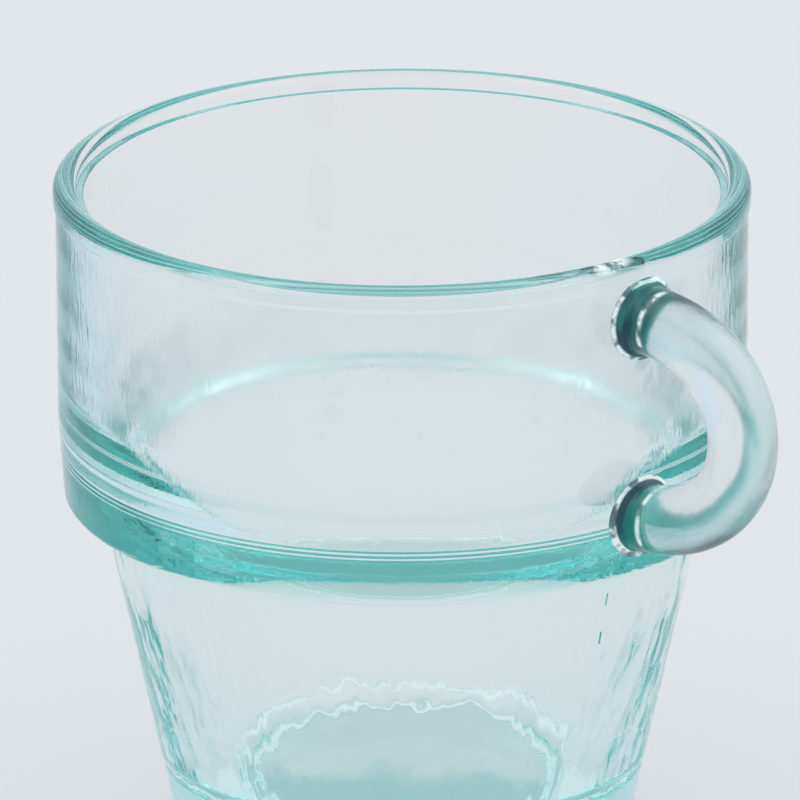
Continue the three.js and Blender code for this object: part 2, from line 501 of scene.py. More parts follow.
print("Grain in mm:", GRAIN_WIDTH / MM, "wide,", GRAIN_HEIGHT / MM, "high")

# %% [markdown]
# ## Ridges on the floor
# The plunger's end face is the coldest part of the mould. Where its edge chills the glass, two ridges
# wander round the floor of the cup. They could be cut into the mesh, but their line follows no outline,
# so a noise moves a circle in and out and the two ridges lie on either side of it.

# %% Wandering ridges
RING_RADIUS = 19.9 * MM
RING_GAP = 2.6 * MM  # from one ridge to the other
RING_WANDER = 3.5 * MM  # how far they stray in and out
RING_WAVE = 6.5 * MM  # and over what length
RING_WIDTH = 0.6 * MM
RING_HEIGHT = 0.45 * MM
FLOOR_TO = 11 * MM  # nothing above this belongs to the floor


def floor_ridges(tree, where):
    """1 along the two wandering ridges on the floor of the cup, falling to 0 beside them."""
    out, height = from_axis(tree, where)
    wander = add_node(
        tree, "ShaderNodeTexNoise", {}, {"Vector": where, "Scale": 1 / RING_WAVE, "Detail": 3.0},
    )
    edge = add_node(
        tree, "ShaderNodeMath", {"operation": "MULTIPLY_ADD"},
        {0: wander, 1: RING_WANDER, 2: RING_RADIUS - RING_WANDER / 2},
    )
    beyond = add_node(tree, "ShaderNodeMath", {"operation": "SUBTRACT"}, {0: out, 1: edge})
    either = add_node(tree, "ShaderNodeMath", {"operation": "ABSOLUTE"}, {0: beyond})
    off_ridge = add_node(tree, "ShaderNodeMath", {"operation": "SUBTRACT"}, {0: either, 1: RING_GAP / 2})
    off_ridge = add_node(tree, "ShaderNodeMath", {"operation": "ABSOLUTE"}, {0: off_ridge})
    ridge = add_node(
        tree, "ShaderNodeMapRange", SMOOTH,
        {"Value": off_ridge, "From Min": 0.0, "From Max": RING_WIDTH, "To Min": 1.0, "To Max": 0.0},
    )
    on_floor = add_node(
        tree, "ShaderNodeMath", {"operation": "COMPARE"},
        {0: height, 1: FLOOR_HEIGHT, 2: FLOOR_TO - FLOOR_HEIGHT},
    )
    return add_node(tree, "ShaderNodeMath", {"operation": "MULTIPLY"}, {0: ridge, 1: on_floor})


def raised_ridges(tree, where):
    """The ridges as relief."""
    return floor_ridges(tree, where), RING_HEIGHT


print("Ridges in mm:", RING_WIDTH / MM, "wide,", RING_HEIGHT / MM, "high")

# %% [markdown]
# ## Marks of the mould
# The mould has a ring on top for the band and a body in halves for the well. Their meeting edges leave
# a fine double line round the outside, just above the ledge, and a broken seam down the well below the
# handle. Where the glass froze on the mould, the well keeps uneven streaks, which break up its teal
# edges. All of these are too shallow for geometry, so they are bump too, kept to the outside by the
# distance from the axis.

# %% Line where the ring meets the mould
JOINT_HEIGHT = 51.2 * MM
JOINT_WIDTH = 0.3 * MM
JOINT_DEPTH = 0.06 * MM
JOINT_FADE = 8 * MM  # it is worn away towards the dragged side


def joint_line(tree, where):
    """A fine double line round the outside of the band."""
    out, height = from_axis(tree, where)
    off_joint = add_node(tree, "ShaderNodeMath", {"operation": "SUBTRACT"}, {0: height, 1: JOINT_HEIGHT})
    off_joint = add_node(tree, "ShaderNodeMath", {"operation": "ABSOLUTE"}, {0: off_joint})
    off_line = add_node(tree, "ShaderNodeMath", {"operation": "SUBTRACT"}, {0: off_joint, 1: JOINT_WIDTH})
    off_line = add_node(tree, "ShaderNodeMath", {"operation": "ABSOLUTE"}, {0: off_line})
    line = add_node(
        tree, "ShaderNodeMapRange", SMOOTH,
        {"Value": off_line, "From Min": 0.0, "From Max": JOINT_WIDTH,
         "To Min": JOINT_DEPTH, "To Max": 0.0},
    )
    outside = add_node(tree, "ShaderNodeMath", {"operation": "GREATER_THAN"}, {0: out, 1: INSIDE_RADIUS})
    unworn = add_node(
        tree, "ShaderNodeMapRange", SMOOTH,
        {"Value": towards_drag(tree, where), "From Min": 0.0, "From Max": JOINT_FADE,
         "To Min": 1.0, "To Max": 0.0},
    )
    return line, add_node(tree, "ShaderNodeMath", {"operation": "MULTIPLY"}, {0: outside, 1: unworn})


print("Joint line at", round(JOINT_HEIGHT / MM, 1), "mm")

# %% Outside of the well
WELL_TAPER = (WAIST_RADIUS - BASE_RADIUS) / LEDGE_HEIGHT
WALL_MARGIN = 2 * MM  # how far inside the outer face a point still counts as outside


def outside_well(tree, out, height):
    """1 on the outer face of the well, 0 on its inner face."""
    upright = add_node(
        tree, "ShaderNodeMath", {"operation": "MULTIPLY_ADD"}, {0: height, 1: -WELL_TAPER, 2: out},
    )
    return add_node(
        tree, "ShaderNodeMath", {"operation": "GREATER_THAN"}, {0: upright, 1: BASE_RADIUS - WALL_MARGIN},
    )


print("Slope of the well:", round(WELL_TAPER, 3))

# %% Uneven streaks down the well
STREAK_LENGTH = 5 * MM
STREAK_STRETCH = 0.4  # longer down the wall than across it
STREAK_HEIGHT = 0.3 * MM
STREAK_FADE = 6 * MM


def well_streaks(tree, where):
    """Uneven streaks where the glass froze on the wall of the mould."""
    out, height = from_axis(tree, where)
    drawn = add_node(
        tree, "ShaderNodeVectorMath", {"operation": "MULTIPLY"}, {0: where, 1: (1, 1, STREAK_STRETCH)},
    )
    streaks = add_node(
        tree, "ShaderNodeTexNoise", {}, {"Vector": drawn, "Scale": 1 / STREAK_LENGTH, "Detail": 2.0},
    )
    below_ledge = add_node(
        tree, "ShaderNodeMapRange", SMOOTH,
        {"Value": height, "From Min": LEDGE_HEIGHT - STREAK_FADE, "From Max": LEDGE_HEIGHT,
         "To Min": STREAK_HEIGHT, "To Max": 0.0},
    )
    outside = outside_well(tree, out, height)
    depth = add_node(tree, "ShaderNodeMath", {"operation": "MULTIPLY"}, {0: below_ledge, 1: outside})
    return streaks, depth


print("Streaks of the well in mm:", STREAK_LENGTH / MM, "wide,", STREAK_HEIGHT / MM, "high")

# %% Broken seam below the handle
SEAM_WIDTH = 0.45 * MM
SEAM_HEIGHT = 0.22 * MM
SEAM_FROM = 33.7 * MM
SEAM_TO = LEDGE_HEIGHT - LEDGE_FILLET
SEAM_PITCH = 5.3 * MM  # from one dash to the next
SEAM_DASH = 1.7 * MM


def seam_dashes(tree, where):
    """Dashes down the outside of the well, on the handle's side."""
    axes = add_node(tree, "ShaderNodeSeparateXYZ", {}, {"Vector": where}).outputs
    aside = add_node(tree, "ShaderNodeMath", {"operation": "ABSOLUTE"}, {0: axes["Y"]})
    seam = add_node(
        tree, "ShaderNodeMapRange", SMOOTH,
        {"Value": aside, "From Min": 0.0, "From Max": SEAM_WIDTH, "To Min": SEAM_HEIGHT, "To Max": 0.0},
    )
    outside = outside_well(tree, axes["X"], axes["Z"])
    below_ledge = add_node(tree, "ShaderNodeMath", {"operation": "LESS_THAN"}, {0: axes["Z"], 1: SEAM_TO})
    outside = add_node(tree, "ShaderNodeMath", {"operation": "MULTIPLY"}, {0: outside, 1: below_ledge})
    cycle = add_node(
        tree, "ShaderNodeMath", {"operation": "WRAP"},
        {0: axes["Z"], 1: SEAM_FROM + SEAM_PITCH, 2: SEAM_FROM},
    )
    dash = add_node(
        tree, "ShaderNodeMath", {"operation": "LESS_THAN"}, {0: cycle, 1: SEAM_FROM + SEAM_DASH},
    )
    above = add_node(tree, "ShaderNodeMath", {"operation": "GREATER_THAN"}, {0: axes["Z"], 1: SEAM_FROM})
    broken = add_node(tree, "ShaderNodeMath", {"operation": "MULTIPLY"}, {0: dash, 1: above})
    return seam, add_node(tree, "ShaderNodeMath", {"operation": "MULTIPLY"}, {0: outside, 1: broken})


print("Seam dashes from", round(SEAM_FROM / MM, 1), "to", round(SEAM_TO / MM, 1), "mm")

# %% [markdown]
# ## Lumps round the welds
# Sticking on the rod softens the band again and leaves it lumpy round each root. The two roots mirror
# each other about the height between them, so folding the height over that middle lets one patch of
# noise serve both.

# %% Lumps of the weld
LUMP_LENGTH = 5 * MM
LUMP_HEIGHT = 0.3 * MM
LUMP_REACH = 11 * MM


def weld_lumps(tree, where):
    """Height of the lumps round the two roots, below the polished lip."""
    offset = add_node(
        tree, "ShaderNodeVectorMath", {"operation": "SUBTRACT"},
        {0: where, 1: (BAND_RADIUS, 0, ROOTS_MIDDLE)},
    )
    folded = add_node(tree, "ShaderNodeVectorMath", {"operation": "ABSOLUTE"}, {0: offset})
    away = add_node(
        tree, "ShaderNodeVectorMath", {"operation": "DISTANCE"},
        {0: folded, 1: (0, 0, UPPER_ROOT - ROOTS_MIDDLE)},
    )
    near = add_node(
        tree, "ShaderNodeMapRange", SMOOTH,
        {"Value": away, "From Min": LUMP_REACH / 3, "From Max": LUMP_REACH,
         "To Min": LUMP_HEIGHT, "To Max": 0.0},
    )
    height = add_node(tree, "ShaderNodeSeparateXYZ", {}, {"Vector": where}).outputs["Z"]
    below_lip = add_node(
        tree, "ShaderNodeMapRange", SMOOTH,
        {"Value": height, "From Min": POLISHED_FROM, "From Max": POLISHED_TO,
         "To Min": 1.0, "To Max": 0.0},
    )
    near = add_node(tree, "ShaderNodeMath", {"operation": "MULTIPLY"}, {0: near, 1: below_lip})
    lumps = add_node(
        tree, "ShaderNodeTexNoise", {}, {"Vector": where, "Scale": 1 / LUMP_LENGTH, "Detail": 1.0},
    )
    return add_node(tree, "ShaderNodeMath", {"operation": "MULTIPLY"}, {0: lumps, 1: near})


print("Lumps in mm:", LUMP_LENGTH / MM, "long,", LUMP_HEIGHT / MM, "high")


# %% Relief of the body
def pressed_relief(tree, where):
    """Height of the body's glass over its ideal surface: the lumps of the weld and every mark above."""
    height = weld_lumps(tree, where)
    for mark in (slow_waves, drawn_grain, raised_ridges, joint_line, well_streaks, seam_dashes):
        pattern, strength = mark(tree, where)
        height = add_node(
            tree, "ShaderNodeMath", {"operation": "MULTIPLY_ADD"}, {0: pattern, 1: strength, 2: height},
        )
    return height


# %% [markdown]
# ## Streaks of the rod
# Drawing out a rod leaves streaks along it. A noise in plain coordinates would run straight through the
# bend, so the streaks are laid out on how far a point is from the middle of the C, and on how far round
# it.

# %% Streaks that follow the bend
ROD_STREAK = 1.6 * MM
ROD_STREAK_HEIGHT = 0.08 * MM


def drawn_relief(tree, where):
    """Height of the rod's glass over a true round."""
    offset = add_node(
        tree, "ShaderNodeVectorMath", {"operation": "SUBTRACT"},
        {0: where, 1: (BAND_RADIUS, 0, ROOTS_MIDDLE)},
    )
    axes = add_node(tree, "ShaderNodeSeparateXYZ", {}, {"Vector": offset}).outputs
    plane = add_node(tree, "ShaderNodeCombineXYZ", {}, {"X": axes["X"], "Z": axes["Z"]})
    bend = add_node(tree, "ShaderNodeVectorMath", {"operation": "LENGTH"}, {0: plane})
    swing = add_node(tree, "ShaderNodeMath", {"operation": "ARCTAN2"}, {0: axes["Z"], 1: axes["X"]})
    along = add_node(tree, "ShaderNodeMath", {"operation": "MULTIPLY"}, {0: swing, 1: ROD_STREAK})
    bent = add_node(tree, "ShaderNodeCombineXYZ", {}, {"X": bend, "Y": axes["Y"], "Z": along})
    streaks = add_node(
        tree, "ShaderNodeTexNoise", {}, {"Vector": bent, "Scale": 1 / ROD_STREAK, "Detail": 2.0},
    )
    return add_node(tree, "ShaderNodeMath", {"operation": "MULTIPLY"}, {0: streaks, 1: ROD_STREAK_HEIGHT})


print("Streaks in mm:", ROD_STREAK / MM, "wide,", ROD_STREAK_HEIGHT / MM, "high")

# %% [markdown]
# ## Haze
# Most of the cup is fire-polished and mirror smooth. The lip is a touch softer, the dragged shoulder is
# dull in patches and spreads its glints into soft arcs, and fine bubbles make the rod a little milky. A
# stronger bump would sparkle there. Roughness blurs instead, which is what such fine drag marks do.

# %% Haze of the body
LIP_HAZE = 0.08
SHOULDER_HAZE = 0.55  # roughness of the dull patches
HAZE_FINE = 0.3  # and between them
HAZE_PATCH = 4 * MM
PATCH_FROM = 0.4  # the patches are where the noise rises from here
PATCH_TO = 0.6


def pressed_haze(tree, where):
    """Roughness of the body: none, but for the lip and the dragged shoulder."""
    height = add_node(tree, "ShaderNodeSeparateXYZ", {}, {"Vector": where}).outputs["Z"]
    on_lip = add_node(
        tree, "ShaderNodeMapRange", SMOOTH,
        {"Value": height, "From Min": BEAD_FOOT, "From Max": CUP_HEIGHT - LIP_ROUND,
         "To Min": 0.0, "To Max": LIP_HAZE},
    )
    patches = add_node(
        tree, "ShaderNodeTexNoise", {}, {"Vector": where, "Scale": 1 / HAZE_PATCH, "Detail": 3.0},
    )
    rough = add_node(
        tree, "ShaderNodeMapRange", {},
        {"Value": patches, "From Min": PATCH_FROM, "From Max": PATCH_TO,
         "To Min": HAZE_FINE, "To Max": SHOULDER_HAZE},
    )
    return add_node(
        tree, "ShaderNodeMath", {"operation": "MULTIPLY_ADD"},
        {0: on_shoulder(tree, where), 1: rough, 2: on_lip},
    )


print("Dull patches in mm:", HAZE_PATCH / MM)

# %% [markdown]
# ## Painted highlights
# Where hot glass meets cold metal or cold glass it can craze into a web of tiny cracks that looks white.
# That look is borrowed here for painted highlights: the broken white rings at the roots of the handle,
# the pale lines on the floor and the glint on the lip beside the upper root. Modelling cracks is hopeless
# at this size, so each is white glass that lets less light through, and glows with painted light.

# %% Broken patches
HIGHLIGHT_PATCH_LENGTH = 1.8 * MM
HIGHLIGHT_PATCH_FROM = 0.38  # the painted highlight starts where the noise rises from here
HIGHLIGHT_PATCH_TO = 0.56
HIGHLIGHT_PATCH_LEAST = 0.1


def highlight_patches(tree, where):
    """Share of the glass painted as highlight: patches with clear glass between them."""
    patches = add_node(
        tree, "ShaderNodeTexNoise", {}, {"Vector": where, "Scale": 1 / HIGHLIGHT_PATCH_LENGTH, "Detail": 2.0},
    )
    return add_node(
        tree, "ShaderNodeMapRange", SMOOTH,
        {"Value": patches, "From Min": HIGHLIGHT_PATCH_FROM, "From Max": HIGHLIGHT_PATCH_TO,
         "To Min": HIGHLIGHT_PATCH_LEAST, "To Max": 1.0},
    )


print("Crazed patches in mm:", HIGHLIGHT_PATCH_LENGTH / MM)

# %% Painted highlights of the body
# share of painted highlight along the floor ridges; the ridges themselves are relief
FLOOR_RIDGE_HIGHLIGHT = 0.6
LIP_GLINT = Vector((41.1, -4.4, 84.8)) * MM  # painted glint on the lip beside the upper root
LIP_GLINT_REACH = 1.6 * MM
LIP_GLINT_STRETCH = 0.4  # it is longer along the lip


def pressed_highlights(tree, where):
    """Share of painted highlight along the ridges on the floor and in the painted glint on the lip."""
    ridges = add_node(
        tree, "ShaderNodeMath", {"operation": "MULTIPLY"}, {0: floor_ridges(tree, where), 1: FLOOR_RIDGE_HIGHLIGHT},
    )
    offset = add_node(tree, "ShaderNodeVectorMath", {"operation": "SUBTRACT"}, {0: where, 1: LIP_GLINT})
    along = add_node(
        tree, "ShaderNodeVectorMath", {"operation": "MULTIPLY"}, {0: offset, 1: (1, LIP_GLINT_STRETCH, 1)},
    )
    away = add_node(tree, "ShaderNodeVectorMath", {"operation": "LENGTH"}, {0: along})
    mark = add_node(
        tree, "ShaderNodeMapRange", SMOOTH,
        {"Value": away, "From Min": LIP_GLINT_REACH / 3, "From Max": LIP_GLINT_REACH, "To Min": 1.0, "To Max": 0.0},
    )
    mark = add_node(
        tree, "ShaderNodeMath", {"operation": "MULTIPLY"}, {0: mark, 1: highlight_patches(tree, where)},
    )
    return add_node(tree, "ShaderNodeMath", {"operation": "MAXIMUM"}, {0: ridges, 1: mark})


print("Mark on the lip in mm:", [round(part / MM, 1) for part in LIP_GLINT])

# %% Painted highlight rings of the handle
HIGHLIGHT_RING_DEPTH = 0.38 * MM  # from the wall to the outer end of the painted highlight ring on the flare
NECK = 3.5 * MM  # from the wall to the painted highlight ring round the neck of the rod
NECK_WIDTH = 0.7 * MM


def root_highlights(tree, where):
    """Share of painted highlight on the edge of each flare, and on one side of the neck."""
    out, _ = from_axis(tree, where)
    standoff = add_node(tree, "ShaderNodeMath", {"operation": "SUBTRACT"}, {0: out, 1: BAND_RADIUS})
    edge = add_node(
        tree, "ShaderNodeMapRange", SMOOTH,
        {"Value": standoff, "From Min": HIGHLIGHT_RING_DEPTH / 2, "From Max": HIGHLIGHT_RING_DEPTH,
         "To Min": 1.0, "To Max": 0.0},
    )
    off_neck = add_node(tree, "ShaderNodeMath", {"operation": "SUBTRACT"}, {0: standoff, 1: NECK})
    off_neck = add_node(tree, "ShaderNodeMath", {"operation": "ABSOLUTE"}, {0: off_neck})
    neck = add_node(
        tree, "ShaderNodeMapRange", SMOOTH,
        {"Value": off_neck, "From Min": 0.0, "From Max": NECK_WIDTH, "To Min": 1.0, "To Max": 0.0},
    )
    side = add_node(tree, "ShaderNodeSeparateXYZ", {}, {"Vector": where}).outputs["Y"]
    one_side = add_node(
        tree, "ShaderNodeMapRange", SMOOTH,
        {"Value": side, "From Min": -ROD_RADIUS / 4, "From Max": ROD_RADIUS / 2,
         "To Min": 1.0, "To Max": 0.0},
    )
    neck = add_node(tree, "ShaderNodeMath", {"operation": "MULTIPLY"}, {0: neck, 1: one_side})
    whole = add_node(tree, "ShaderNodeMath", {"operation": "MAXIMUM"}, {0: edge, 1: neck})
    broken = highlight_patches(tree, where)
    return add_node(tree, "ShaderNodeMath", {"operation": "MULTIPLY"}, {0: whole, 1: broken})


print("Ring on the flare in mm:", HIGHLIGHT_RING_DEPTH / MM, "and on the neck:", NECK_WIDTH / MM)

# %% [markdown]
# ## The fused weld
# Rod and band are one piece of glass where they meet, so light runs from one to the other without
# bending. The two meshes could be joined, but each stands for its own CAD solid. Instead both get the
# refractive index of air, 1, on the patch where they face each other. The patch scatters some light, as
# a weld full of fine bubbles would, and is painted in clouds of dark and light teal that stand in for the
# shade and light seen at the roots.

# %% Wall of the band in nodes
def wall_radius(tree, height):
    """Outside radius of the band at a height, the same as band_radius gives."""
    drawn = add_node(
        tree, "ShaderNodeMapRange", {},
        {"Value": height, "From Min": LEDGE_HEIGHT, "From Max": TAPER_HEIGHT,
         "To Min": LEDGE_RADIUS, "To Max": BAND_RADIUS},
    )
    swollen = add_node(
        tree, "ShaderNodeMapRange", {},
        {"Value": height, "From Min": BEAD_START, "From Max": BEAD_FOOT,
         "To Min": 0.0, "To Max": BEAD_PROUD},
    )
    return add_node(tree, "ShaderNodeMath", {"operation": "ADD"}, {0: drawn, 1: swollen})


# %% Find the weld
def fused_weld(tree, where):
    """1 where a point lies on the wall of the band inside one of the two root caps, otherwise 0."""
    out, height = from_axis(tree, where)
    on_wall = add_node(
        tree, "ShaderNodeMath", {"operation": "COMPARE"},
        {0: out, 1: wall_radius(tree, height), 2: 2 * WELD_GAP},
    )
    axes = add_node(tree, "ShaderNodeSeparateXYZ", {}, {"Vector": where}).outputs
    rise = add_node(tree, "ShaderNodeMath", {"operation": "SUBTRACT"}, {0: height, 1: ROOTS_MIDDLE})
    folded = add_node(tree, "ShaderNodeMath", {"operation": "ABSOLUTE"}, {0: rise})
    from_root = add_node(
        tree, "ShaderNodeMath", {"operation": "SUBTRACT"}, {0: folded, 1: UPPER_ROOT - ROOTS_MIDDLE},
    )
    offset = add_node(tree, "ShaderNodeCombineXYZ", {}, {"X": axes["Y"], "Y": from_root})
    reach = add_node(tree, "ShaderNodeVectorMath", {"operation": "LENGTH"}, {0: offset})
    in_cap = add_node(tree, "ShaderNodeMath", {"operation": "LESS_THAN"}, {0: reach, 1: weld_radius})
    in_front = add_node(tree, "ShaderNodeMath", {"operation": "GREATER_THAN"}, {0: axes["X"], 1: 0.0})
    capped = add_node(tree, "ShaderNodeMath", {"operation": "MULTIPLY"}, {0: in_cap, 1: in_front})
    return add_node(tree, "ShaderNodeMath", {"operation": "MULTIPLY"}, {0: capped, 1: on_wall})


# %% Colour of the weld
# dark and light teal painted on the weld, standing in for the shade and light seen at the roots
WELD_PAINTED_SHADE = "#0C7480"
WELD_PAINTED_LIGHT = "#3CCDC4"
WELD_CLOUD = 4 * MM
CLOUD_FROM = 0.42  # the noise between these runs from the painted dark teal to the painted light teal
CLOUD_TO = 0.62


def weld_painted_colour(tree, where, weld):
    """White, and cloudy dark and light teal painted in the weld as the roots' shade and light."""
    clouds = add_node(
        tree, "ShaderNodeTexNoise", {}, {"Vector": where, "Scale": 1 / WELD_CLOUD, "Detail": 2.0},
    )
    teal = add_node(tree, "ShaderNodeValToRGB", {}, {"Fac": clouds})
    deep, bright = teal.color_ramp.elements
    deep.position, deep.color = CLOUD_FROM, linear(WELD_PAINTED_SHADE)
    bright.position, bright.color = CLOUD_TO, linear(WELD_PAINTED_LIGHT)
    return add_node(
        tree, "ShaderNodeMix", {"data_type": "RGBA"}, {"Factor": weld, 6: linear("#FFFFFF"), 7: teal},
    )


print("Clouds of the weld in mm:", WELD_CLOUD / MM)

# %% [markdown]
# ## Recycled glass
# Melted-down bottle glass keeps a trace of iron, which takes out red: a thin wall is almost clear, and
# light that has run a long way inside the glass comes out teal. A tinted surface would colour every
# wall alike, so the colour sits in the volume. It is given as what is left of white light after a
# stated depth.

# %% Tint of the volume
TINT_DEPTH = 34.5 * MM
TINT_LEFT = "#CEF2F1"  # white light after that depth of glass
taken = [-math.log(left) / TINT_DEPTH for left in linear(TINT_LEFT)[:3]]
tint_density = max(taken)
tint_colour = [1 - share / tint_density for share in taken] + [1]
print("Taken out per mm of red, green and blue:", [round(share * MM, 4) for share in taken])

# %% Surface of the glass
GLASS_IOR = 1.51
WELD_MILK = 0.5  # share of light that the bubbles in the weld scatter
HIGHLIGHT_WHITE = 0.6  # share of the painted highlights that is white glass scattering light
GLOW = 0.35  # painted glow of the highlights, for light piped by the wall that path tracing misses
GLOW_COLOUR = "#DDFAF5"


def glass_surface(tree, where, finish):
    """Clear glass with a finish, and with no surface left where the rod is fused to the band."""
    height, haze, painted_highlight = finish(tree, where)
    bump = add_node(tree, "ShaderNodeBump", {}, {"Height": height, "Distance": 1.0})
    weld = fused_weld(tree, where)
    ior = add_node(
        tree, "ShaderNodeMath", {"operation": "MULTIPLY_ADD"}, {0: weld, 1: 1 - GLASS_IOR, 2: GLASS_IOR},
    )
    unfused = add_node(tree, "ShaderNodeMath", {"operation": "MULTIPLY_ADD"}, {0: weld, 1: -1.0, 2: 1.0})
    # painted highlights: white glass that lets less light through, with a painted glow
    highlighted = add_node(tree, "ShaderNodeMath", {"operation": "MULTIPLY"}, {0: unfused, 1: painted_highlight})
    glow = add_node(tree, "ShaderNodeMath", {"operation": "MULTIPLY"}, {0: highlighted, 1: GLOW})
    clear = add_node(
        tree, "ShaderNodeMath", {"operation": "MULTIPLY_ADD"}, {0: weld, 1: -WELD_MILK, 2: 1.0},
    )
    clear = add_node(
        tree, "ShaderNodeMath", {"operation": "MULTIPLY_ADD"}, {0: highlighted, 1: -HIGHLIGHT_WHITE, 2: clear},
    )
    return add_node(
        tree, "ShaderNodeBsdfPrincipled", {},
        {"Base Color": weld_painted_colour(tree, where, weld), "Roughness": haze, "IOR": ior, "Normal": bump,
         "Transmission Weight": clear, "Emission Color": linear(GLOW_COLOUR), "Emission Strength": glow},
    )


# %% Put the glass together
def recycled_glass(name, finish):
    """A glass with a teal volume and the finish of one of the pieces."""
    material = bpy.data.materials.new(name)
    material.use_nodes = True
    tree = material.node_tree
    tree.nodes.clear()
    where = add_node(tree, "ShaderNodeTexCoord", {}, {}).outputs["Object"]
    surface = glass_surface(tree, where, finish)
    volume = add_node(
        tree, "ShaderNodeVolumeAbsorption", {}, {"Color": tint_colour, "Density": tint_density},
    )
    add_node(tree, "ShaderNodeOutputMaterial", {}, {"Surface": surface, "Volume": volume})
    print(name, len(tree.nodes), "nodes")
    return material


# %% Pressed glass of the body
# Pressed and fire-polished: bright and clear, a little wavy, dull only where the plunger dragged.
def pressed_finish(tree, where):
    """Relief, roughness and painted highlights of the body."""
    return pressed_relief(tree, where), pressed_haze(tree, where), pressed_highlights(tree, where)


body.data.materials.append(recycled_glass("pressed_recycled_glass", pressed_finish))

# %% Drawn glass of the rod
# Drawn out hot and full of fine bubbles: soft and milky, with streaks along the bend and painted white
# highlight rings at the roots.
ROD_HAZE = 0.2


def drawn_finish(tree, where):
    """Relief, roughness and painted highlight rings of the rod."""
    return drawn_relief(tree, where), ROD_HAZE, root_highlights(tree, where)


handle.data.materials.append(recycled_glass("drawn_recycled_glass", drawn_finish))

# %% [markdown]
# ## The table
# The cup stands on a pale sheet of acrylic that is lit from below as well as from above. Glass has no
# colour of its own to light. It only shows what is round it, so the table it bends into view is as much
# a part of its look as the lamps. The sheet is brightest in a field round the cup and dimmer past it,
# and those dim sides draw the darker edges of the glass.

# %% Table top
TABLE_RADIUS = 1.5
TABLE_SEGMENTS = 96
TABLE_DROP = 0.1 * MM  # a hair below the base, so that the two faces don't coincide
table_mesh = bmesh.new()
bmesh.ops.create_circle(table_mesh, cap_ends=True, segments=TABLE_SEGMENTS, radius=TABLE_RADIUS)
bmesh.ops.translate(table_mesh, verts=table_mesh.verts, vec=(0, 0, -TABLE_DROP))
table_data = bpy.data.meshes.new("floor")
table_mesh.to_mesh(table_data)
table_mesh.free()
table = bpy.data.objects.new("floor", table_data)
scene.collection.objects.link(table)
print("Table in m:", 2 * TABLE_RADIUS)

# %% Bright field of the table
FIELD_COLOUR = "#E0E5E9"
FIELD_IN_GLASS = "#E4E4E7"  # the same field, as the glass shows it
DIM_COLOUR = "#DAE4EE"
FIELD_WIDTH = 0.125  # half the width of the bright field, out to the middle of its soft edge
FIELD_SHIFT = 0.04  # to the right
FIELD_EDGE = 0.015
FIELD_END = 0.6  # how far behind the cup it reaches
RIGHT = Vector((math.cos(CAMERA_TURN), math.sin(CAMERA_TURN), 0))  # across the studio
BACK = Vector((-math.sin(CAMERA_TURN), math.cos(CAMERA_TURN), 0))  # away from the camera


def field_colour(tree, where, ray):
    """Colour of the lit sheet. Its dim sides show in the glass, and the camera sees one even field."""
    aside = add_node(tree, "ShaderNodeVectorMath", {"operation": "DOT_PRODUCT"}, {0: where, 1: RIGHT})
    behind = add_node(tree, "ShaderNodeVectorMath", {"operation": "DOT_PRODUCT"}, {0: where, 1: BACK})
    from_middle = add_node(tree, "ShaderNodeMath", {"operation": "SUBTRACT"}, {0: aside, 1: FIELD_SHIFT})
    from_middle = add_node(tree, "ShaderNodeMath", {"operation": "ABSOLUTE"}, {0: from_middle})
    in_width = add_node(
        tree, "ShaderNodeMapRange", SMOOTH,
        {"Value": from_middle, "From Min": FIELD_WIDTH - FIELD_EDGE, "From Max": FIELD_WIDTH + FIELD_EDGE,
         "To Min": 1.0, "To Max": 0.0},
    )
    in_length = add_node(tree, "ShaderNodeMath", {"operation": "LESS_THAN"}, {0: behind, 1: FIELD_END})
    in_field = add_node(tree, "ShaderNodeMath", {"operation": "MULTIPLY"}, {0: in_width, 1: in_length})
    in_glass = add_node(
        tree, "ShaderNodeMix", {"data_type": "RGBA"},
        {"Factor": in_field, 6: linear(DIM_COLOUR), 7: linear(FIELD_IN_GLASS)},
    )
    return add_node(
        tree, "ShaderNodeMix", {"data_type": "RGBA"},
        {"Factor": ray["Is Camera Ray"], 6: in_glass, 7: linear(FIELD_COLOUR)},
    )


print("Bright field in m:", 2 * FIELD_WIDTH, "wide")

# %% Table under the cup
SHADE_COLOUR = "#C7D4D5"  # lit through the glass
SHADE_DEEP = "#8FBFC0"  # and its front part, behind the thick edge of the floor
SHADE_CLOUD = 9 * MM
SHADE_RADIUS = BASE_RADIUS + 1 * MM
SHADE_EDGE = 3 * MM
DEEP_FROM = -1.0 * SHADE_CLOUD  # the deep part is full in front of this line
DEEP_TO = -0.2 * SHADE_CLOUD  # and gone behind this one


def shaded_colour(tree, where, field):
    """The field's colour, with a cloudy teal shade under the cup."""
    behind = add_node(tree, "ShaderNodeVectorMath", {"operation": "DOT_PRODUCT"}, {0: where, 1: BACK})
    clouds = add_node(
        tree, "ShaderNodeTexNoise", {}, {"Vector": where, "Scale": 1 / SHADE_CLOUD, "Detail": 2.0},
    )
    ahead = add_node(
        tree, "ShaderNodeMath", {"operation": "MULTIPLY_ADD"},
        {0: clouds, 1: -2 * SHADE_CLOUD, 2: behind},
    )
    deep = add_node(
        tree, "ShaderNodeMapRange", SMOOTH,
        {"Value": ahead, "From Min": DEEP_FROM, "From Max": DEEP_TO, "To Min": 1.0, "To Max": 0.0},
    )
    shade = add_node(
        tree, "ShaderNodeMix", {"data_type": "RGBA"},
        {"Factor": deep, 6: linear(SHADE_COLOUR), 7: linear(SHADE_DEEP)},
    )
    out = add_node(tree, "ShaderNodeVectorMath", {"operation": "LENGTH"}, {0: where})
    clear = add_node(
        tree, "ShaderNodeMapRange", SMOOTH,
        {"Value": out, "From Min": SHADE_RADIUS - SHADE_EDGE, "From Max": SHADE_RADIUS + SHADE_EDGE,
         "To Min": 0.0, "To Max": 1.0},
    )
    return add_node(tree, "ShaderNodeMix", {"data_type": "RGBA"}, {"Factor": clear, 6: shade, 7: field})


print("Shade under the cup in mm:", round(SHADE_RADIUS / MM, 1))

